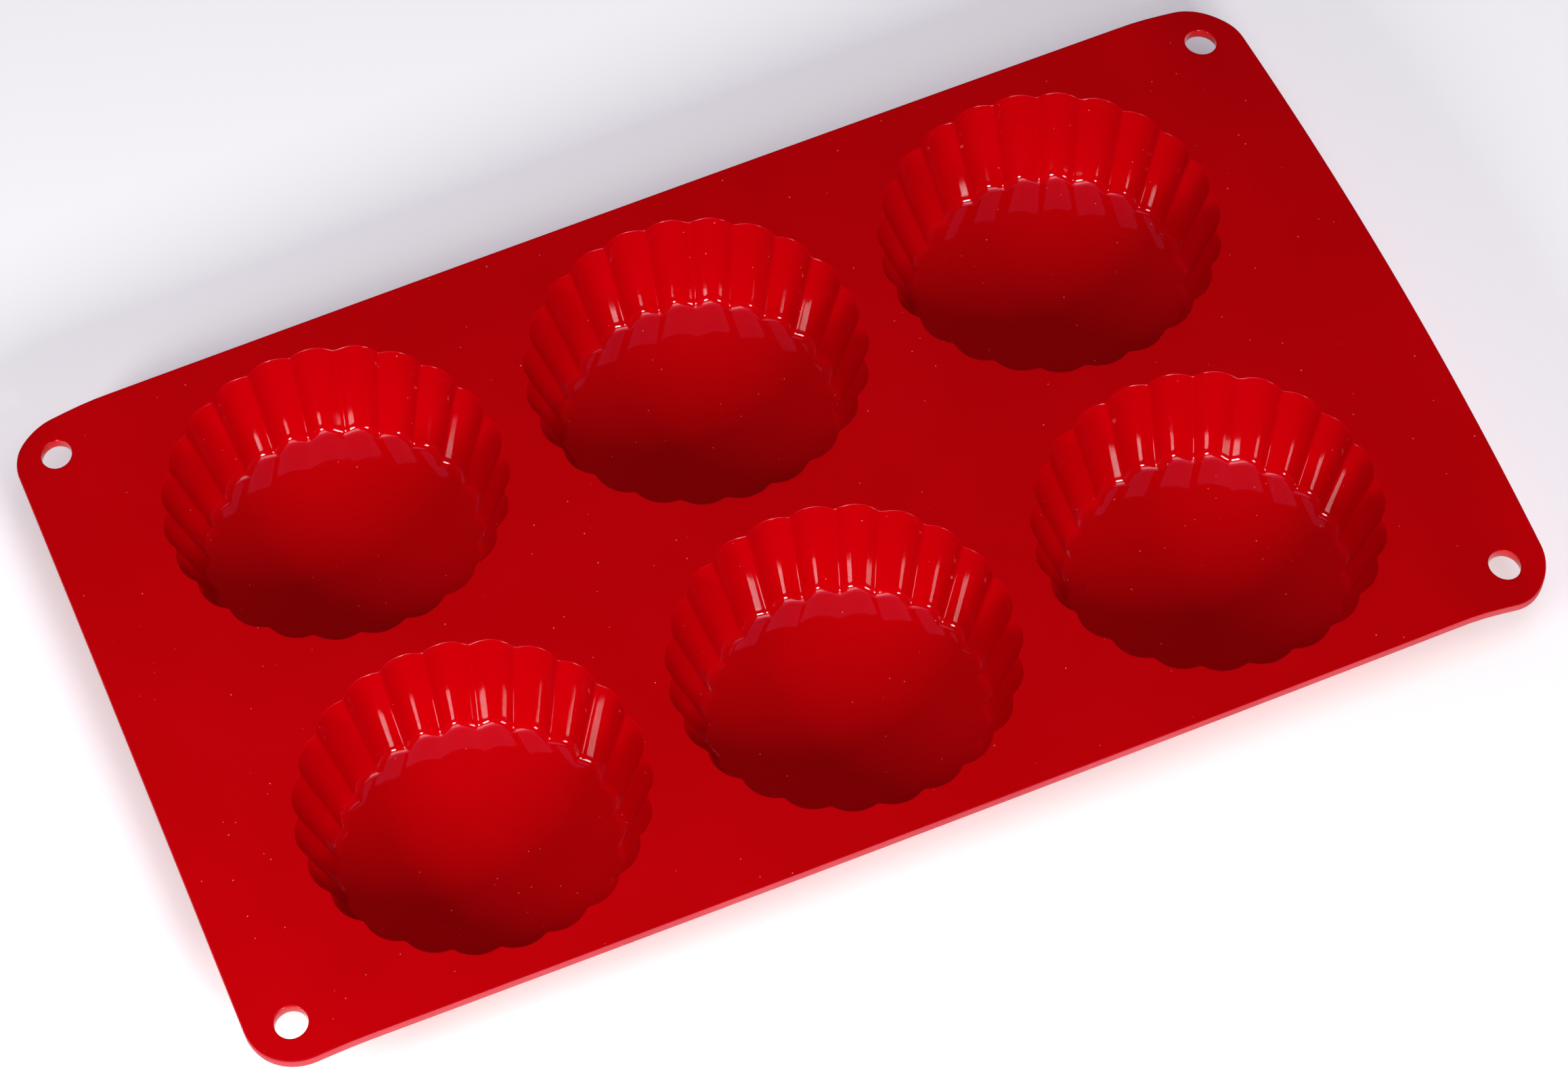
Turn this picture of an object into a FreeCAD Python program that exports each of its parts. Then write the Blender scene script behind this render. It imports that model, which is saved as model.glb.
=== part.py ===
"""Six-cup fluted bun mould in silicone rubber, in two rows of three.

The mould is one flexible moulding. Its zones are made here as separate solids that meet face to
face: three stiff stretches of deck, the two narrow webs between them that the mould folds along,
and for each cup a fluted wall and the floor that is pushed up to release a bake.

Frame: millimetres, +Z up, +X along the length, +Y from the front row to the back row. The origin
is on the surface the mould stands on, below its centre.
"""
import FreeCAD
import Part
import math
import os

# ---- driving dimensions, millimetres ----
COLUMNS = ("left", "middle", "right")
ROWS = ("front", "back")

CUP_MOUTH_DIAMETER = 77.6      # over the flute crests, at the top face of the deck
CUP_FLOOR_DIAMETER = 63.4      # over the flute crests, where the wall meets the floor
CUP_DEPTH = 22.5               # top face of the deck down to the inside of the floor
FLUTE_COUNT = 23               # one flute crest points along +X
FLUTE_DEPTH = 1.25             # crest to cusp at the mouth
WALL_THICKNESS = 1.9           # measured level, along the radius
FLOOR_THICKNESS = 2.5
INNER_CORNER = 1.6             # bevel where the wall meets the floor, inside
OUTER_CORNER = 1.0             # bevel round the foot of each cup, outside

GAP_BETWEEN_COLUMNS = 8.2      # deck left between two mouths, along X
GAP_BETWEEN_ROWS = 6.8         # deck left between two mouths, along Y
END_BORDER = 25.4              # deck beyond the outer mouths, along X
SIDE_BORDER = 6.5              # deck beyond the mouths, along Y
DECK_THICKNESS = 2.5
DECK_CORNER_RADIUS = 12.0

FLEX_WEB_WIDTH = 3.0           # the strip that bends between two columns

HANG_HOLE_DIAMETER = 7.4
HANG_HOLE_INSET = 10.0         # hole centre to each edge of the deck

PUSH_DISC_LEDGE = 0.4          # flat floor left round the disc that a thumb lifts
PUSH_DISC_CLEARANCE = 0.3      # between that disc and the ledge

# ---- sizes worked out from them ----
PITCH_X = CUP_MOUTH_DIAMETER + GAP_BETWEEN_COLUMNS
PITCH_Y = CUP_MOUTH_DIAMETER + GAP_BETWEEN_ROWS
DECK_LENGTH = (len(COLUMNS) - 1) * PITCH_X + CUP_MOUTH_DIAMETER + 2 * END_BORDER
DECK_WIDTH = (len(ROWS) - 1) * PITCH_Y + CUP_MOUTH_DIAMETER + 2 * SIDE_BORDER
DECK_TOP = FLOOR_THICKNESS + CUP_DEPTH
DECK_UNDERSIDE = DECK_TOP - DECK_THICKNESS
MOUTH_RADIUS = CUP_MOUTH_DIAMETER / 2
FLOOR_RADIUS = CUP_FLOOR_DIAMETER / 2
WALL_DRAFT = (MOUTH_RADIUS - FLOOR_RADIUS) / CUP_DEPTH
CUSP_SHARE = 1 - FLUTE_DEPTH / MOUTH_RADIUS      # cusp radius over crest radius, at any height
DISC_HOLE_RADIUS = (FLOOR_RADIUS - INNER_CORNER) * CUSP_SHARE - PUSH_DISC_LEDGE

COLUMN_X = [(i - (len(COLUMNS) - 1) / 2) * PITCH_X for i in range(len(COLUMNS))]
ROW_Y = [(i - (len(ROWS) - 1) / 2) * PITCH_Y for i in range(len(ROWS))]
FOLD_X = [(a + b) / 2 for a, b in zip(COLUMN_X, COLUMN_X[1:])]


def inner_crest_radius(height):
    """Radius over the flute crests of the cup's inside, at a height above the ground."""
    return FLOOR_RADIUS + WALL_DRAFT * (height - FLOOR_THICKNESS)


def fluted_wire(centre_x, centre_y, crest_radius, height):
    """A closed ring of outward arcs that meet in inward cusps; the flutes shrink with the ring."""
    cusp_radius = crest_radius * CUSP_SHARE
    step = 2 * math.pi / FLUTE_COUNT

    def point(radius, angle):
        x = centre_x + radius * math.cos(angle)
        y = centre_y + radius * math.sin(angle)
        return FreeCAD.Vector(x, y, height)

    arcs = []
    for flute in range(FLUTE_COUNT):
        crest = flute * step
        start = point(cusp_radius, crest - step / 2)
        middle = point(crest_radius, crest)
        end = point(cusp_radius, crest + step / 2)
        arcs.append(Part.Arc(start, middle, end).toShape())
    return Part.Wire(arcs)


def fluted_solid(centre_x, centre_y, levels):
    """A solid through fluted rings; levels holds (crest radius, height) from the bottom up."""
    rings = [fluted_wire(centre_x, centre_y, radius, height) for radius, height in levels]
    return Part.makeLoft(rings, True, True)


def deck_blank():
    """The whole deck as a plate with rounded corners, before it is divided."""
    corner = FreeCAD.Vector(-DECK_LENGTH / 2, -DECK_WIDTH / 2, DECK_UNDERSIDE)
    plate = Part.makeBox(DECK_LENGTH, DECK_WIDTH, DECK_THICKNESS, corner)
    upright = [edge for edge in plate.Edges if abs(edge.tangentAt(0).z) > 0.99]
    return plate.makeFillet(DECK_CORNER_RADIUS, upright)


def mouth_cutter(centre_x, centre_y):
    """What a cup's mouth takes out of the deck, with the draft of the wall below it."""
    proud = 1.0
    levels = [(inner_crest_radius(height), height)
              for height in (DECK_UNDERSIDE - proud, DECK_TOP + proud)]
    return fluted_solid(centre_x, centre_y, levels)


def hang_hole_cutters():
    """The four holes by which the mould hangs or is pinned to a rack."""
    cutters = []
    for side_x in (-1, 1):
        for side_y in (-1, 1):
            x = side_x * (DECK_LENGTH / 2 - HANG_HOLE_INSET)
            y = side_y * (DECK_WIDTH / 2 - HANG_HOLE_INSET)
            base = FreeCAD.Vector(x, y, DECK_UNDERSIDE - 1)
            cutters.append(Part.makeCylinder(HANG_HOLE_DIAMETER / 2, DECK_THICKNESS + 2, base))
    return cutters


def deck_slice(deck, low_x, high_x):
    """The stretch of the deck between two places along its length."""
    corner = FreeCAD.Vector(low_x, -DECK_WIDTH / 2, DECK_UNDERSIDE)
    return deck.common(Part.makeBox(high_x - low_x, DECK_WIDTH, DECK_THICKNESS, corner))


def deck_parts():
    """The deck pieces and the flex webs, by node name."""
    deck = deck_blank()
    cutters = [mouth_cutter(x, y) for x in COLUMN_X for y in ROW_Y] + hang_hole_cutters()
    deck = deck.cut(Part.makeCompound(cutters))

    half_web = FLEX_WEB_WIDTH / 2
    starts = [-DECK_LENGTH / 2] + [x + half_web for x in FOLD_X]
    ends = [x - half_web for x in FOLD_X] + [DECK_LENGTH / 2]
    parts = {}
    for name, start, end in zip(COLUMNS, starts, ends):
        parts["deck_" + name] = deck_slice(deck, start, end)
    for name, x in zip(("left", "right"), FOLD_X):
        parts["flex_web_" + name] = deck_slice(deck, x - half_web, x + half_web)
    return parts


def cup_wall(centre_x, centre_y):
    """A cup's fluted wall, hung from the deck's underside, with the ring that the mould stands on."""
    outside = fluted_solid(centre_x, centre_y, [
        (inner_crest_radius(0) + WALL_THICKNESS - OUTER_CORNER, 0),
        (inner_crest_radius(OUTER_CORNER) + WALL_THICKNESS, OUTER_CORNER),
        (inner_crest_radius(DECK_UNDERSIDE) + WALL_THICKNESS, DECK_UNDERSIDE),
    ])
    bevel_top = FLOOR_THICKNESS + INNER_CORNER
    inside = fluted_solid(centre_x, centre_y, [
        (FLOOR_RADIUS - INNER_CORNER, FLOOR_THICKNESS),
        (inner_crest_radius(bevel_top), bevel_top),
        (inner_crest_radius(DECK_UNDERSIDE), DECK_UNDERSIDE),
    ])
    base = FreeCAD.Vector(centre_x, centre_y, 0)
    disc_hole = Part.makeCylinder(DISC_HOLE_RADIUS, FLOOR_THICKNESS, base)
    return outside.cut(inside).cut(disc_hole)


def cup_floor(centre_x, centre_y):
    """The middle of a cup's floor, which is pushed up to lift the bake out."""
    base = FreeCAD.Vector(centre_x, centre_y, 0)
    return Part.makeCylinder(DISC_HOLE_RADIUS - PUSH_DISC_CLEARANCE, FLOOR_THICKNESS, base)


def mould_parts():
    """Every piece of the mould, by node name."""
    parts = deck_parts()
    for row, y in zip(ROWS, ROW_Y):
        for column, x in zip(COLUMNS, COLUMN_X):
            parts[f"cup_{row}_{column}_wall"] = cup_wall(x, y)
            parts[f"cup_{row}_{column}_floor"] = cup_floor(x, y)
    return parts


os.makedirs("parts", exist_ok=True)
for node, shape in mould_parts().items():
    shape.exportStep(f"parts/{node}.step")
    print(f"{node}: {shape.Volume / 1000:.2f} cm3, {len(shape.Solids)} solid, valid {shape.isValid()}")
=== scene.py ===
import math

import bmesh
import bpy
from mathutils import Matrix, Vector
from mathutils.geometry import delaunay_2d_cdt


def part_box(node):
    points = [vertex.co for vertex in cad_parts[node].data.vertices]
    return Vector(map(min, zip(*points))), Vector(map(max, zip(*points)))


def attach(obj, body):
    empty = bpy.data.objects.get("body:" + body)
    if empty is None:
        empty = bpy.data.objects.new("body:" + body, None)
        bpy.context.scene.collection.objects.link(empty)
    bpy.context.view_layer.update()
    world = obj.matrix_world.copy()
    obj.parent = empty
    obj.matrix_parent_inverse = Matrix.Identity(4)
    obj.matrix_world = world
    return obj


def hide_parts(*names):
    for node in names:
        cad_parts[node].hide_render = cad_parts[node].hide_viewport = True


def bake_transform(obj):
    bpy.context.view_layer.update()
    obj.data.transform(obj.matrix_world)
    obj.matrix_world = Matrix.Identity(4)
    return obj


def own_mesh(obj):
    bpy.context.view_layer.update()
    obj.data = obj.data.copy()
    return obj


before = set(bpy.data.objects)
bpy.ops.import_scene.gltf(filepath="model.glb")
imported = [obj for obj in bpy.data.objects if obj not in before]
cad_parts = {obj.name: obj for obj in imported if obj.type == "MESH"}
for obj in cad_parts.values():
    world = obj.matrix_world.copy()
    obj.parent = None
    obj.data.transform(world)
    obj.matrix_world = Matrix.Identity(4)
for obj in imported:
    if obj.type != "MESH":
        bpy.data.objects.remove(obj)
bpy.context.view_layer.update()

# Metres throughout. Each CAD node is replaced by one moulded piece with the same extent, and the
# pieces share their rims exactly, so that the mould reads as one casting until it bends.

MM = 0.001

COLUMNS = ("left", "middle", "right")
ROWS = ("front", "back")

# ---- cup section ----
FLUTE_COUNT = 23
FLUTE_DEPTH = 1.42 * MM          # crest to where a sharp cusp would be, at the mouth
MOUTH_RADIUS = 38.8 * MM         # over the crests, where the lip starts to round over
LIP_RADIUS = 0.22 * MM
WALL_SLOPE = 0.311               # outward run of the wall for each unit of height
WALL_THICKNESS = 1.9 * MM        # measured level
FLOOR_THICKNESS = 2.5 * MM
FLOOR_FILLET = 2.0 * MM
FOOT_ROUNDING = 1.5 * MM
FLOOR_SEAM = 4.5 * MM            # height at which the wall piece hands over to the floor piece
SEAM_GAP = 0.01 * MM             # hairline kept between the two
ROOT_FLARE = 0.6 * MM            # thickening of the wall where it hangs from the deck
ROOT_REACH = 1.2 * MM            # how far down the wall that thickening runs
CUSP_SOFTNESS = 0.12             # share of a half flute over which the cusp is rounded
FOOT_WAVE = 0.35                 # how much of a flute's arch has turned into a wave at its foot
FLUTED_FROM = 26.0 * MM          # crest radius inside which the flutes die out

# ---- deck ----
CORNER_RADIUS = 12.0 * MM
RIM_TOP_ROUNDING = 0.3 * MM
RIM_FOOT_ROUNDING = 0.45 * MM
RIM_DRAFT = 0.15 * MM            # how far the rim leans in from top to bottom
HOLE_RADIUS = 3.7 * MM
HOLE_INSET = 10.0 * MM
HOLE_ROUNDING = 0.2 * MM
SUPPORT = 0.3 * MM               # flat ring kept beside every rounded edge
FLEX_HALF_WIDTH = 3.7 * MM       # the soft web reaches this far each side of a fold line
FLEX_STEPS = 12
END_MESH = 5.0 * MM              # spacing of the points inside the ends of the deck, which droop
END_MESH_CLEARANCE = 2.5 * MM
MIDDLE_MESH = 10.0 * MM
MIDDLE_MESH_CLEARANCE = 3.0 * MM

# ---- places, from the frame ----
DECK_LOW = Vector(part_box("deck_left")[0])
DECK_HIGH = Vector(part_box("deck_right")[1])
DECK_TOP = DECK_HIGH.z
DECK_UNDER = DECK_LOW.z
HALF_LENGTH = DECK_HIGH.x
HALF_WIDTH = DECK_HIGH.y


def node_middle(node):
    """The centre of a CAD node's box."""
    low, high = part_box(node)
    return (low + high) / 2


CUP_CENTRES = {(row, column): node_middle(f"cup_{row}_{column}_floor").xy
               for row in ROWS for column in COLUMNS}
FOLD_X = {side: node_middle(f"flex_web_{side}").x for side in ("left", "right")}
HOLE_CENTRES = [Vector((sx * (HALF_LENGTH - HOLE_INSET), sy * (HALF_WIDTH - HOLE_INSET)))
                for sx in (-1, 1) for sy in (-1, 1)]

# ---- finishes, as material indices on every piece ----
DECK_FACE, CUP_FACE, CUT_FACE, UNDER_FACE = range(4)


# ======================= meshes =======================

class Shell:
    """Collects the points and faces of one closed piece, each face with its finish."""

    def __init__(self):
        self.points = []
        self.faces = []
        self.finishes = []

    def ring(self, points):
        """Adds points and returns their numbers."""
        first = len(self.points)
        self.points.extend(points)
        return list(range(first, len(self.points)))

    def face(self, corners, finish):
        self.faces.append(corners)
        self.finishes.append(finish)

    def strip(self, one, two, finish, closed=True):
        """Quads between two rings, or triangles where one of them is a single point."""
        count = max(len(one), len(two))
        for i in range(count if closed else count - 1):
            j = (i + 1) % count
            if len(one) == 1:
                self.face([one[0], two[i], two[j]], finish)
            elif len(two) == 1:
                self.face([one[i], one[j], two[0]], finish)
            else:
                self.face([one[i], one[j], two[j], two[i]], finish)

    def build(self, name, move=Vector):
        """Makes the object: points moved, rims welded, faces turned outward, hard edges sharp."""
        mesh = bpy.data.meshes.new(name)
        mesh.from_pydata([move(point) for point in self.points], [], self.faces)
        mesh.polygons.foreach_set("material_index", self.finishes)
        mesh.polygons.foreach_set("use_smooth", [True] * len(self.faces))
        for material in FINISHES:
            mesh.materials.append(material)
        work = bmesh.new()
        work.from_mesh(mesh)
        bmesh.ops.remove_doubles(work, verts=work.verts, dist=WELD)
        bmesh.ops.recalc_face_normals(work, faces=work.faces)
        for edge in work.edges:
            edge.smooth = edge.calc_face_angle(0) < SHARP_FROM
        work.to_mesh(mesh)
        work.free()
        piece = bpy.data.objects.new(name, mesh)
        bpy.context.scene.collection.objects.link(piece)
        return piece


WELD = 0.001 * MM
FILL_TOLERANCE = 0.0001 * MM
SHARP_FROM = math.radians(40)

WALL_ANGLE = math.atan(WALL_SLOPE)
LIP_TURN = math.pi / 2 - WALL_ANGLE
LIP_RUN = LIP_RADIUS * math.tan(LIP_TURN / 2)      # from the sharp corner to where the lip starts


def wall_radius(height):
    """Crest radius of the inside of a cup."""
    return MOUTH_RADIUS - LIP_RUN - WALL_SLOPE * (DECK_TOP - height)


def bulge(share, height):
    """How far a flute stands out, 0 to 1, at a share of the way from its cusp to its crest."""
    if share < CUSP_SOFTNESS:
        arched = CUSP_SOFTNESS + (1 - CUSP_SOFTNESS) / CUSP_SOFTNESS * share ** 2
    else:
        arched = 2 * share - share ** 2
    waved = (1 - math.cos(math.pi * share)) / 2
    wave = FOOT_WAVE * (DECK_TOP - height) / (DECK_TOP - FLOOR_THICKNESS)
    return arched + wave * (waved - arched)


def flute_stations():
    """(angle, share of the way from cusp to crest) all round a cup, closest at the cusps."""
    rising = (0, 0.04, 0.08, 0.12, 0.19, 0.3, 0.45, 0.62, 0.81)
    shares = [(s, s - 1) for s in rising] + [(1, 0)] + [(s, 1 - s) for s in rising[:0:-1]]
    step = 2 * math.pi / FLUTE_COUNT
    return [(flute * step + side * step / 2, share)
            for flute in range(FLUTE_COUNT) for share, side in shares]


STATIONS = flute_stations()


def fluted_ring(centre, crest_radius, height):
    """The points of a fluted ring. Flutes keep their depth down the wall and die out at the centre."""
    if crest_radius == 0:
        return [Vector((centre.x, centre.y, height))]
    depth = FLUTE_DEPTH * min(1.0, crest_radius / FLUTED_FROM)
    points = []
    for angle, share in STATIONS:
        reach = crest_radius - depth * (1 - bulge(share, height))
        points.append(Vector((centre.x + reach * math.cos(angle),
                              centre.y + reach * math.sin(angle), height)))
    return points


def arc(radius, centre_r, centre_z, start, end, steps):
    """(r, z) points on an arc, with angles in radians from straight up, turning towards the axis."""
    angles = [start + (end - start) * i / steps for i in range(steps + 1)]
    return [(centre_r - radius * math.sin(a), centre_z + radius * math.cos(a)) for a in angles]


def lathe(shell, centre, section, closed=False):
    """Adds a fluted surface; section holds (crest radius, height, finish of the band after it)."""
    rings = [shell.ring(fluted_ring(centre, radius, height)) for radius, height, _ in section]
    for i in range(len(rings) if closed else len(rings) - 1):
        shell.strip(rings[i], rings[(i + 1) % len(rings)], section[i][2])
    return rings


def band(points, finish):
    """Gives every (radius, height) of a section the same finish."""
    return [(radius, height, finish) for radius, height in points]


# ---- cup pieces ----

def spread(start, end, steps):
    """Evenly spaced values from start to end, both included."""
    return [start + (end - start) * i / steps for i in range(steps + 1)]


def make_wall(name, centre):
    """The fluted wall from the underside of the deck down to the floor piece."""
    inside = [(wall_radius(z), z) for z in spread(DECK_UNDER, FLOOR_SEAM, 6)]
    flare = []
    for depth in spread(ROOT_REACH, 0, 5):
        swell = ROOT_FLARE * (1 - depth / ROOT_REACH) ** 2
        flare.append((wall_radius(DECK_UNDER - depth) + WALL_THICKNESS + swell, DECK_UNDER - depth))
    shaft = [(wall_radius(z) + WALL_THICKNESS, z) for z in spread(FLOOR_SEAM, flare[0][1], 5)][:-1]
    outside = shaft + flare
    section = band(inside, CUP_FACE) + band(outside, UNDER_FACE)
    section[len(inside) - 1] = (*inside[-1], UNDER_FACE)
    shell = Shell()
    lathe(shell, centre, section, closed=True)
    return shell.build(name)


FLOOR_SHARES = (0, 0.3, 0.65, 0.9, 1)
FOOT_SHARES = (1, 0.9, 0.5, 0)


def make_floor(name, centre):
    """The flat floor, the fillet that runs up into the wall, and the foot under them."""
    seam = FLOOR_SEAM - SEAM_GAP
    corner = wall_radius(FLOOR_THICKNESS)
    fillet_r = corner + WALL_SLOPE * FLOOR_FILLET - FLOOR_FILLET * math.hypot(1, WALL_SLOPE)
    fillet_z = FLOOR_THICKNESS + FLOOR_FILLET
    fillet = arc(FLOOR_FILLET, fillet_r, fillet_z, math.pi, 3 * math.pi / 2 - WALL_ANGLE, 10)
    flat = fillet[0][0] - SUPPORT
    floor = [(flat * share, FLOOR_THICKNESS) for share in FLOOR_SHARES]
    inside = floor + fillet + [(wall_radius(seam), seam)]

    foot = wall_radius(0) + WALL_THICKNESS
    foot_r = foot + WALL_SLOPE * FOOT_ROUNDING - FOOT_ROUNDING * math.hypot(1, WALL_SLOPE)
    rounding = arc(FOOT_ROUNDING, foot_r, FOOT_ROUNDING, 3 * math.pi / 2 - WALL_ANGLE, math.pi, 6)
    foot_flat = rounding[-1][0] - SUPPORT
    outside = [(wall_radius(seam) + WALL_THICKNESS, seam)] + rounding
    outside += [(foot_flat * share, 0) for share in FOOT_SHARES]

    section = band(inside, CUP_FACE) + band(outside, UNDER_FACE)
    section[len(inside) - 1] = (*inside[-1], UNDER_FACE)
    shell = Shell()
    lathe(shell, centre, section)
    return shell.build(name)


# ---- deck pieces ----

def rim_profile():
    """(inset from the outline, height) from the top face round the rim to the underside."""
    top = [(RIM_TOP_ROUNDING * (1 - math.sin(a)), DECK_TOP - RIM_TOP_ROUNDING * (1 - math.cos(a)))
           for a in spread(0, math.pi / 2, 4)]
    foot = [(RIM_DRAFT + RIM_FOOT_ROUNDING * (1 - math.cos(a)),
             DECK_UNDER + RIM_FOOT_ROUNDING * (1 - math.sin(a)))
            for a in spread(0, math.pi / 2, 4)]
    start = (RIM_TOP_ROUNDING + SUPPORT, DECK_TOP)
    end = (foot[-1][0] + SUPPORT, DECK_UNDER)
    return [start] + top + foot + [end]


RIM = rim_profile()
CUT_BANDS = range(2, len(RIM) - 3)


def rim_finish(step):
    """The finish of one band of the rim: glossy above, frosted on the cut, matt below."""
    if step in CUT_BANDS:
        return CUT_FACE
    return DECK_FACE if step < CUT_BANDS[0] else UNDER_FACE


def end_outline(side, seam_x, inset):
    """The rim of an end of the deck, from the seam along the front, round both corners and back."""
    corner_x = HALF_LENGTH - CORNER_RADIUS
    corner_y = HALF_WIDTH - CORNER_RADIUS
    along = spread(abs(seam_x), corner_x, 24)
    across = spread(-corner_y, corner_y, 30)
    radius = CORNER_RADIUS - inset
    quarter = spread(0, math.pi / 2, 18)
    right = [(x, -HALF_WIDTH + inset) for x in along[:-1]]
    right += [(corner_x + radius * math.sin(a), -corner_y - radius * math.cos(a)) for a in quarter]
    right += [(HALF_LENGTH - inset, y) for y in across[1:-1]]
    right += [(corner_x + radius * math.cos(a), corner_y + radius * math.sin(a)) for a in quarter]
    right += [(x, HALF_WIDTH - inset) for x in along[-2::-1]]
    return [Vector((side * x, y)) for x, y in right]


def smoothstep(start, end, value):
    """0 before start, 1 after end and a smooth rise between them."""
    share = min(1.0, max(0.0, (value - start) / (end - start)))
    return share * share * (3 - 2 * share)


# How the rubber has settled: each corner's sag, and how far the edges lie from straight. Sides are
# -1 for left or front and 1 for right or back.
CORNER_SAG = {(-1, -1): -1.8 * MM, (-1, 1): -3.0 * MM, (1, -1): -4.2 * MM, (1, 1): -2.9 * MM}
SETTLED_FROM = 125.0 * MM
SETTLED_RIM = 81.5 * MM
LONG_EDGE_BOW = {-1: 0.7 * MM, 1: 0.5 * MM}
LONG_EDGE_SKEW = {-1: 0.3 * MM, 1: 0.5 * MM}
RIGHT_EDGE_MIDDLE = 0.8 * MM
RIGHT_EDGE_CORNERS = -1.1 * MM
LEFT_EDGE_FRONT = -0.2 * MM
LEFT_EDGE_BACK = -1.2 * MM


def settled(point):
    """Moves a point of the deck to where the soft rubber really lies."""
    side_x = 1 if point.x > 0 else -1
    side_y = 1 if point.y > 0 else -1
    end = smoothstep(SETTLED_FROM, HALF_LENGTH, abs(point.x))
    across = point.y / HALF_WIDTH
    drop = CORNER_SAG[side_x, side_y] * end * across ** 2
    if side_x > 0:
        reach = RIGHT_EDGE_MIDDLE + (RIGHT_EDGE_CORNERS - RIGHT_EDGE_MIDDLE) * across ** 2
    else:
        reach = LEFT_EDGE_FRONT + (LEFT_EDGE_BACK - LEFT_EDGE_FRONT) * (across + 1) / 2
    rim = smoothstep(SETTLED_RIM, HALF_WIDTH, abs(point.y))
    along = point.x / HALF_LENGTH
    bow = LONG_EDGE_BOW[side_y] * (1 - along ** 2) + LONG_EDGE_SKEW[side_y] * along
    return point + Vector((side_x * reach * end, side_y * bow * rim, drop))


def mouth_section():
    """The section of a mouth, from the flat of the deck over the lip to the deck's underside."""
    lip = arc(LIP_RADIUS, MOUTH_RADIUS, DECK_TOP - LIP_RADIUS, 0, LIP_TURN, 5)
    section = [(MOUTH_RADIUS + SUPPORT, DECK_TOP, DECK_FACE)]
    return section + band(lip, CUP_FACE) + band([(wall_radius(DECK_UNDER), DECK_UNDER)], CUP_FACE)


def circle(centre, radius, height, count=48):
    """The points of a plain ring."""
    return [Vector((centre.x + radius * math.cos(2 * math.pi * i / count),
                    centre.y + radius * math.sin(2 * math.pi * i / count), height))
            for i in range(count)]


def hole_rings(shell, centre):
    """The wall of a hanging hole; returns its outermost rings, top and bottom."""
    quarter = spread(0, math.pi / 2, 3)
    outer = HOLE_RADIUS + HOLE_ROUNDING
    top = [(outer - HOLE_ROUNDING * math.sin(a), DECK_TOP - HOLE_ROUNDING * (1 - math.cos(a)))
           for a in quarter]
    foot = [(radius, DECK_TOP + DECK_UNDER - height) for radius, height in reversed(top)]
    section = [(outer + SUPPORT, DECK_TOP)] + top + foot + [(outer + SUPPORT, DECK_UNDER)]
    rings = [shell.ring(circle(centre, radius, height)) for radius, height in section]
    last = len(rings) - 2
    for i, (one, two) in enumerate(zip(rings, rings[1:])):
        finish = UNDER_FACE if i > last - 2 else DECK_FACE
        shell.strip(one, two, finish)
    return rings[0], rings[-1]


def grid_points(low_x, high_x, cups, holes, spacing, clearance):
    """Points inside a stretch of deck, clear of its rim, mouths and holes."""
    points = []
    for x in spread(low_x, high_x, round((high_x - low_x) / spacing))[1:-1]:
        for y in spread(-HALF_WIDTH, HALF_WIDTH, round(2 * HALF_WIDTH / spacing))[1:-1]:
            spot = Vector((x, y))
            corner_x = abs(x) - (HALF_LENGTH - CORNER_RADIUS)
            corner_y = abs(y) - (HALF_WIDTH - CORNER_RADIUS)
            in_corner = corner_x > 0 and corner_y > 0
            if in_corner and math.hypot(corner_x, corner_y) > CORNER_RADIUS - clearance:
                continue
            if HALF_LENGTH - abs(x) < clearance or HALF_WIDTH - abs(y) < clearance:
                continue
            if any((spot - c).length < MOUTH_RADIUS + clearance for c in cups):
                continue
            if any((spot - c).length < HOLE_RADIUS + clearance for c in holes):
                continue
            points.append(spot)
    return points


def signed_area(loop):
    """Positive where the loop runs anticlockwise."""
    return sum(a.x * b.y - a.y * b.x for a, b in zip(loop, loop[1:] + loop[:1])) / 2


def fill(shell, outline, openings, inner_points, height, finish):
    """Fills a flat outline, less its openings, with triangles through the points inside it."""
    if signed_area([shell.points[i] for i in outline]) < 0:
        outline = outline[::-1]
    loops = [outline] + openings
    flat = []
    faces = []
    for loop in loops:
        faces.append(list(range(len(flat), len(flat) + len(loop))))
        flat.extend(Vector((shell.points[i].x, shell.points[i].y)) for i in loop)
    found = delaunay_2d_cdt(flat + inner_points, [], faces, 1, FILL_TOLERANCE, True)
    spots, triangles, owners = found[0], found[2], found[5]
    kept = [triangle for triangle, owner in zip(triangles, owners) if list(owner) == [0]]
    used = sorted(set(i for triangle in kept for i in triangle))
    place = dict(zip(used, shell.ring([Vector((spots[i].x, spots[i].y, height)) for i in used])))
    for triangle in kept:
        shell.face([place[i] for i in triangle], finish)


def cut_openings(shell, cups, holes):
    """Adds the mouths and holes of a deck piece; returns their top loops and bottom loops."""
    tops = []
    bottoms = []
    for centre in cups:
        rings = lathe(shell, centre, mouth_section())
        tops.append(rings[0])
        bottoms.append(rings[-1])
    for centre in holes:
        top, bottom = hole_rings(shell, centre)
        tops.append(top)
        bottoms.append(bottom)
    return tops, bottoms


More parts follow.
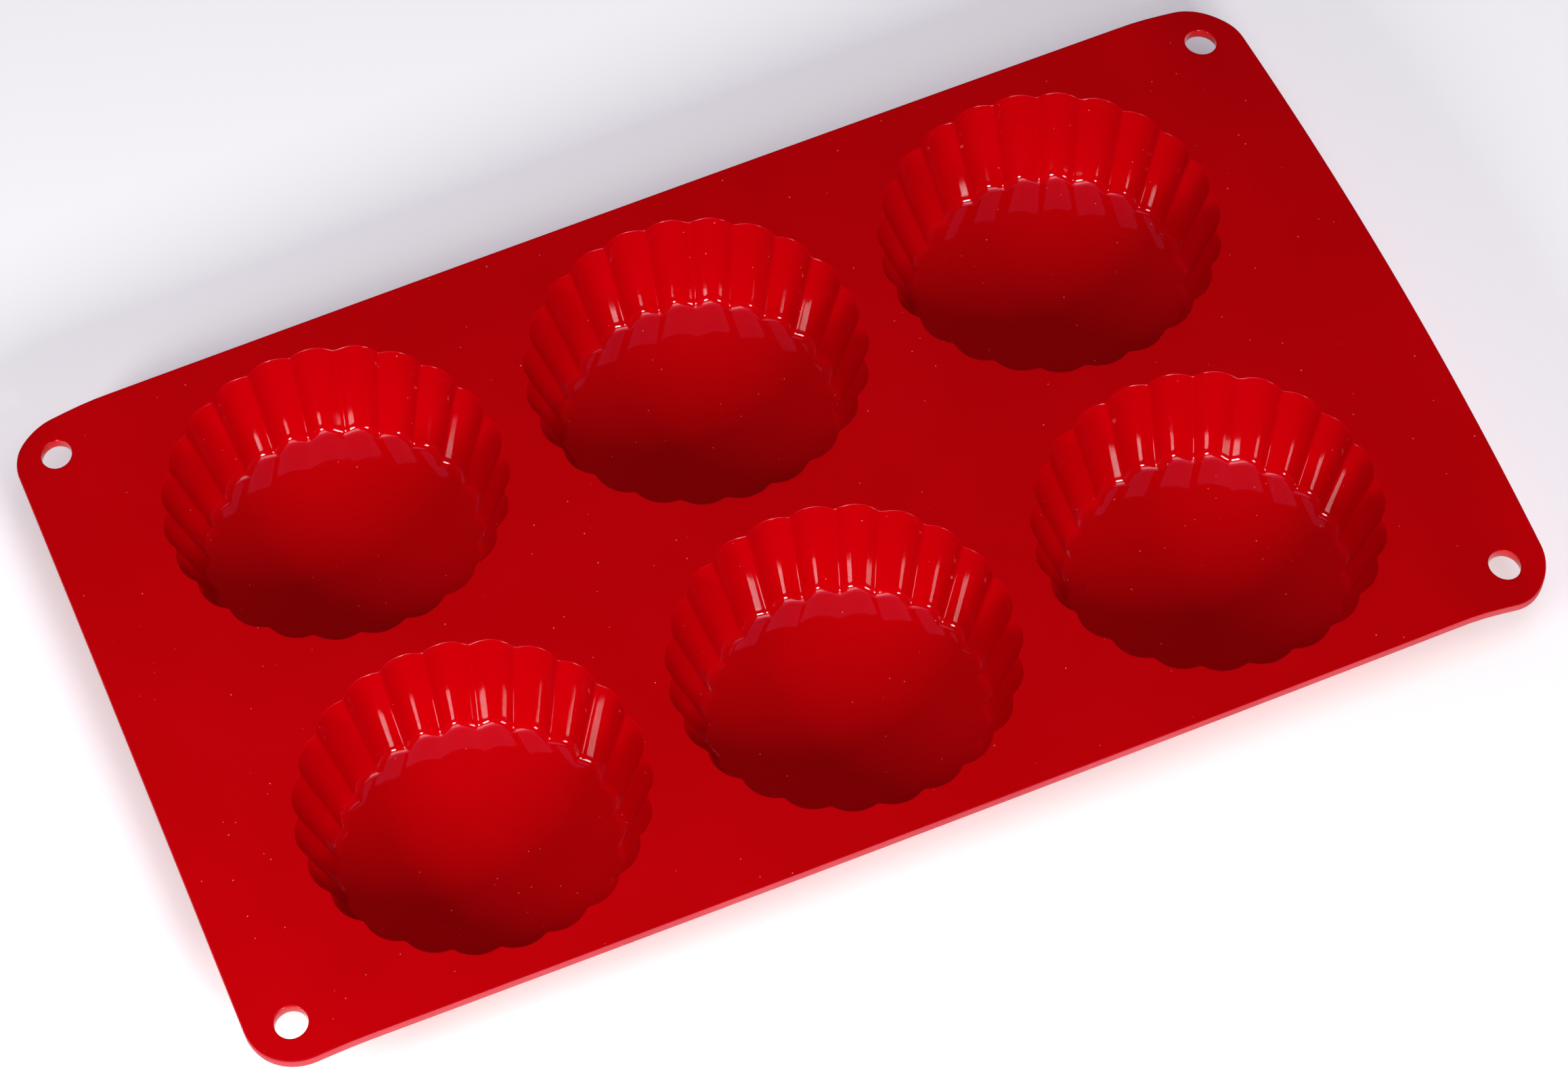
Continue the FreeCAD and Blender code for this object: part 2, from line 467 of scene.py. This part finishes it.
def make_end_deck(name, side, seam_x, cups):
    """The left or right end of the deck, with its two corners and their holes."""
    holes = [c for c in HOLE_CENTRES if c.x * side > 0]
    shell = Shell()
    tops, bottoms = cut_openings(shell, cups, holes)
    rims = []
    for inset, height in RIM:
        rims.append(shell.ring([spot.to_3d() + Vector((0, 0, height))
                                for spot in end_outline(side, seam_x, inset)]))
    for step, (one, two) in enumerate(zip(rims, rims[1:])):
        shell.strip(one, two, rim_finish(step), closed=False)
    low_x, high_x = sorted((seam_x, side * HALF_LENGTH))
    fine = grid_points(low_x, high_x, cups, holes, END_MESH, END_MESH_CLEARANCE)
    fill(shell, rims[0], tops, fine, DECK_TOP, DECK_FACE)
    fill(shell, rims[-1], bottoms, fine, DECK_UNDER, UNDER_FACE)
    shell.face([rim[0] for rim in rims] + [rim[-1] for rim in reversed(rims)], UNDER_FACE)
    return shell.build(name, settled)


def rim_line(low_x, high_x, side_y, inset, height, steps):
    """Points along the front or back rim."""
    y = side_y * (HALF_WIDTH - inset)
    return [Vector((x, y, height)) for x in spread(low_x, high_x, steps)]


def make_middle_deck(name, low_x, high_x, cups):
    """The stretch of deck between the two folds."""
    shell = Shell()
    tops, bottoms = cut_openings(shell, cups, [])
    front = [shell.ring(rim_line(low_x, high_x, -1, inset, z, 12)) for inset, z in RIM]
    back = [shell.ring(rim_line(low_x, high_x, 1, inset, z, 12)) for inset, z in RIM]
    for rims in (front, back):
        for step, (one, two) in enumerate(zip(rims, rims[1:])):
            shell.strip(one, two, rim_finish(step), closed=False)
    fine = grid_points(low_x, high_x, cups, [], MIDDLE_MESH, MIDDLE_MESH_CLEARANCE)
    fill(shell, front[0] + back[0][::-1], tops, fine, DECK_TOP, DECK_FACE)
    fill(shell, front[-1] + back[-1][::-1], bottoms, fine, DECK_UNDER, UNDER_FACE)
    for end in (0, -1):
        cap = [rim[end] for rim in front] + [rim[end] for rim in reversed(back)]
        shell.face(cap, UNDER_FACE)
    return shell.build(name, settled)


def make_web(name, fold_x):
    """The strip of deck at a fold line, sliced finely across the fold."""
    shell = Shell()
    section = [(-1, i) for i in range(len(RIM))] + [(1, i) for i in range(len(RIM) - 1, -1, -1)]
    finishes = [rim_finish(i) for i in range(len(RIM) - 1)]
    finishes = finishes + [UNDER_FACE] + finishes[::-1] + [DECK_FACE]
    slices = []
    for x in spread(fold_x - FLEX_HALF_WIDTH, fold_x + FLEX_HALF_WIDTH, FLEX_STEPS):
        points = [Vector((x, side * (HALF_WIDTH - RIM[i][0]), RIM[i][1])) for side, i in section]
        slices.append(shell.ring(points))
    for one, two in zip(slices, slices[1:]):
        for i, finish in enumerate(finishes):
            j = (i + 1) % len(section)
            shell.face([one[i], one[j], two[j], two[i]], finish)
    shell.face(slices[0], UNDER_FACE)
    shell.face(slices[-1], UNDER_FACE)
    return shell.build(name, settled)


# ======================= materials =======================

def start_material(name):
    """A new material with its node tree and its main shader."""
    material = bpy.data.materials.new(name)
    material.use_nodes = True
    tree = material.node_tree
    shader = tree.nodes["Principled BSDF"]
    return material, tree, shader


def add(tree, kind, **settings):
    """Adds a shader node and sets its properties."""
    made = tree.nodes.new("ShaderNode" + kind)
    for key, value in settings.items():
        setattr(made, key, value)
    return made


def noise(tree, scale, detail=3.0, roughness=0.5):
    """Noise over the object, with features a metre divided by scale wide."""
    coordinates = add(tree, "TexCoord")
    made = add(tree, "TexNoise")
    made.inputs["Scale"].default_value = scale
    made.inputs["Detail"].default_value = detail
    made.inputs["Roughness"].default_value = roughness
    tree.links.new(coordinates.outputs["Object"], made.inputs["Vector"])
    return made.outputs["Fac"]


def remap(tree, value, low, high, new_low, new_high):
    """Stretches low..high to new_low..new_high and clamps there."""
    made = add(tree, "MapRange")
    made.inputs["From Min"].default_value = low
    made.inputs["From Max"].default_value = high
    made.inputs["To Min"].default_value = new_low
    made.inputs["To Max"].default_value = new_high
    tree.links.new(value, made.inputs["Value"])
    return made.outputs["Result"]


def mix_colour(tree, share, one, two):
    """Blends two colours, each a tuple or a socket."""
    made = add(tree, "Mix", data_type="RGBA")
    first, second, result = made.inputs[6], made.inputs[7], made.outputs[2]
    for socket, colour in ((first, one), (second, two)):
        if isinstance(colour, tuple):
            socket.default_value = (*colour, 1)
        else:
            tree.links.new(colour, socket)
    tree.links.new(share, made.inputs["Factor"])
    return result


def bump(tree, shader, height, distance):
    """Roughens a shader's surface by a height pattern."""
    made = add(tree, "Bump")
    made.inputs["Distance"].default_value = distance
    tree.links.new(height, made.inputs["Height"])
    tree.links.new(made.outputs["Normal"], shader.inputs["Normal"])


DUST_CELLS = 330.0               # cells in a metre; a speck is about a thirtieth of a cell
DUST_COLOUR = (0.85, 0.35, 0.30)
SILICONE_IOR = 1.43


def dust(tree):
    """1 in sparse tiny specks, 0 elsewhere."""
    coordinates = add(tree, "TexCoord")
    cells = add(tree, "TexVoronoi")
    cells.inputs["Scale"].default_value = DUST_CELLS
    tree.links.new(coordinates.outputs["Object"], cells.inputs["Vector"])
    near = remap(tree, cells.outputs["Distance"], 0.03, 0.05, 1, 0)
    parts = add(tree, "SeparateColor")
    tree.links.new(cells.outputs["Color"], parts.inputs["Color"])
    chosen = remap(tree, parts.outputs["Red"], 0.3, 0.9, 0, 1)
    both = add(tree, "Math", operation="MULTIPLY")
    tree.links.new(near, both.inputs[0])
    tree.links.new(chosen, both.inputs[1])
    return both.outputs["Value"]


def silicone(name, colour, deeper, roughness, unevenness, grain, grain_height):
    """Red silicone rubber: slight mottling, uneven gloss and a fine moulded grain."""
    material, tree, shader = start_material(name)
    mottle = remap(tree, noise(tree, 35.0), 0.35, 0.65, 0.0, 1.0)
    rubber = mix_colour(tree, mottle, colour, deeper)
    tree.links.new(mix_colour(tree, dust(tree), rubber, DUST_COLOUR), shader.inputs["Base Color"])
    low, high = roughness - unevenness, roughness + unevenness
    tree.links.new(remap(tree, noise(tree, 120.0), 0.3, 0.7, low, high), shader.inputs["Roughness"])
    bump(tree, shader, noise(tree, grain, 4.0, 0.6), grain_height)
    shader.inputs["IOR"].default_value = SILICONE_IOR
    return material


DECK_FINISH = silicone("silicone_deck", (0.53, 0.0, 0.0025), (0.50, 0.0, 0.002),
                       roughness=0.09, unevenness=0.02, grain=900.0, grain_height=0.003 * MM)
CUP_FINISH = silicone("silicone_cup", (0.53, 0.0, 0.0025), (0.51, 0.0, 0.002),
                      roughness=0.05, unevenness=0.015, grain=400.0, grain_height=0.002 * MM)
CUT_FINISH = silicone("silicone_cut", (0.56, 0.045, 0.055), (0.50, 0.025, 0.035),
                      roughness=0.65, unevenness=0.08, grain=2500.0, grain_height=0.02 * MM)
UNDER_FINISH = silicone("silicone_under", (0.50, 0.0, 0.0025), (0.46, 0.0, 0.002),
                        roughness=0.32, unevenness=0.04, grain=900.0, grain_height=0.01 * MM)
FINISHES = (DECK_FINISH, CUP_FINISH, CUT_FINISH, UNDER_FINISH)


# ======================= camera, light and floor =======================

CAMERA_TARGET = Vector((-0.0314, 0.0037, 0.0250))
CAMERA_DISTANCE = 1.2351
CAMERA_AZIMUTH = math.radians(-16.67)
CAMERA_ELEVATION = math.radians(57.17)
CAMERA_ROLL = math.radians(-6.12)
CAMERA_LENS = 130.05
CAMERA_SHIFT = 0.0985            # the photograph's own centre lies left of the middle of its frame

FLOOR_PLANE_RADIUS = 1.6
FLOOR_PLANE_LEVEL = -0.1 * MM
FLOOR_PLANE_COLOUR = (0.92, 0.92, 0.92)
FLOOR_PLANE_GLOW = 0.25          # keeps the floor pale in the mould's shadow
SKY_TO_CAMERA = 0.9
SKY_AS_LIGHT = 0.015


def direction(azimuth, elevation):
    """Unit vector towards a place seen at that azimuth, turning from the front to the right."""
    level = math.cos(elevation)
    return Vector((math.sin(azimuth) * level, -math.cos(azimuth) * level, math.sin(elevation)))


def make_camera():
    lens = bpy.data.cameras.new("camera")
    lens.lens = CAMERA_LENS
    lens.sensor_width = 36.0
    lens.shift_x = CAMERA_SHIFT
    lens.clip_end = 50.0
    camera = bpy.data.objects.new("camera", lens)
    bpy.context.scene.collection.objects.link(camera)
    away = direction(CAMERA_AZIMUTH, CAMERA_ELEVATION)
    turn = (-away).to_track_quat("-Z", "Y").to_matrix().to_4x4()
    turn = turn @ Matrix.Rotation(CAMERA_ROLL, 4, "Z")
    turn.translation = CAMERA_TARGET + away * CAMERA_DISTANCE
    camera.matrix_world = turn
    bpy.context.scene.camera = camera


def make_light(name, azimuth, elevation, distance, width, height, power, colour=(1, 1, 1)):
    """A rectangular panel that faces the mould; angles in degrees."""
    lamp = bpy.data.lights.new(name, "AREA")
    lamp.shape = "RECTANGLE"
    lamp.size = width
    lamp.size_y = height
    lamp.energy = power
    lamp.color = colour
    light = bpy.data.objects.new(name, lamp)
    bpy.context.scene.collection.objects.link(light)
    away = direction(math.radians(azimuth), math.radians(elevation))
    turn = (-away).to_track_quat("-Z", "Y").to_matrix().to_4x4()
    turn.translation = Vector((0, 0, DECK_TOP)) + away * distance
    light.matrix_world = turn


def make_floor_plane():
    """A plain pale disc that the mould stands on."""
    mesh = bpy.data.meshes.new("floor")
    corners = [(FLOOR_PLANE_RADIUS * math.cos(a), FLOOR_PLANE_RADIUS * math.sin(a), FLOOR_PLANE_LEVEL)
               for a in spread(0, 2 * math.pi, 96)[:-1]]
    mesh.from_pydata(corners, [], [list(range(len(corners)))])
    material, tree, shader = start_material("pale_floor")
    shader.inputs["Base Color"].default_value = (*FLOOR_PLANE_COLOUR, 1)
    shader.inputs["Roughness"].default_value = 0.8
    shader.inputs["Emission Color"].default_value = (1, 1, 1, 1)
    shader.inputs["Emission Strength"].default_value = FLOOR_PLANE_GLOW
    mesh.materials.append(material)
    floor = bpy.data.objects.new("floor", mesh)
    bpy.context.scene.collection.objects.link(floor)


def make_world():
    """Pale to the camera, dim as a light, so that the deck mirrors a dark room."""
    world = bpy.data.worlds.new("studio")
    bpy.context.scene.world = world
    world.use_nodes = True
    tree = world.node_tree
    background = tree.nodes["Background"]
    path = add(tree, "LightPath")
    shade = remap(tree, path.outputs["Is Camera Ray"], 0, 1, SKY_AS_LIGHT, SKY_TO_CAMERA)
    tree.links.new(shade, background.inputs["Strength"])
    background.inputs["Color"].default_value = (1, 1, 1, 1)


make_camera()
make_floor_plane()
make_world()
make_light("front_key", azimuth=1, elevation=28.4, distance=1.4,
           width=0.267, height=0.369, power=13.6)
make_light("left_key", azimuth=-68, elevation=30, distance=0.65,
           width=0.125, height=0.171, power=1.85)
make_light("top_panel", azimuth=0, elevation=68, distance=1.6,
           width=0.62, height=0.8, power=6.2)
make_light("ceiling", azimuth=0, elevation=89.9, distance=1.6,
           width=0.9, height=0.9, power=3.0, colour=(0.68, 0.45, 1.0))
bpy.context.scene.view_settings.view_transform = "Standard"


# ======================= the mould =======================

def stand_for(node):
    """Hides the CAD node that a piece stands in for."""
    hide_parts(node)


def make_cups():
    """The six walls and floors."""
    for (row, column), centre in CUP_CENTRES.items():
        cup = f"cup_{row}_{column}"
        wall = make_wall(cup + "_wall_skin", centre)
        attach(wall, column + "_column")
        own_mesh(wall)
        stand_for(cup + "_wall")
        floor = make_floor(cup + "_floor_skin", centre)
        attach(floor, f"{row}_{column}_floor")
        stand_for(cup + "_floor")


def make_deck():
    """The three stretches of deck and the two webs between them."""
    cups = {column: [CUP_CENTRES[row, column] for row in ROWS] for column in COLUMNS}
    left, right = FOLD_X["left"], FOLD_X["right"]
    pieces = {
        "left": make_end_deck("deck_left_skin", -1, left - FLEX_HALF_WIDTH, cups["left"]),
        "middle": make_middle_deck("deck_middle_skin", left + FLEX_HALF_WIDTH,
                                   right - FLEX_HALF_WIDTH, cups["middle"]),
        "right": make_end_deck("deck_right_skin", 1, right + FLEX_HALF_WIDTH, cups["right"]),
    }
    for column, piece in pieces.items():
        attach(piece, column + "_column")
        stand_for("deck_" + column)
    for side, fold_x in FOLD_X.items():
        web = make_web(f"flex_web_{side}_skin", fold_x)
        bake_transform(web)
        stand_for("flex_web_" + side)


make_deck()
make_cups()
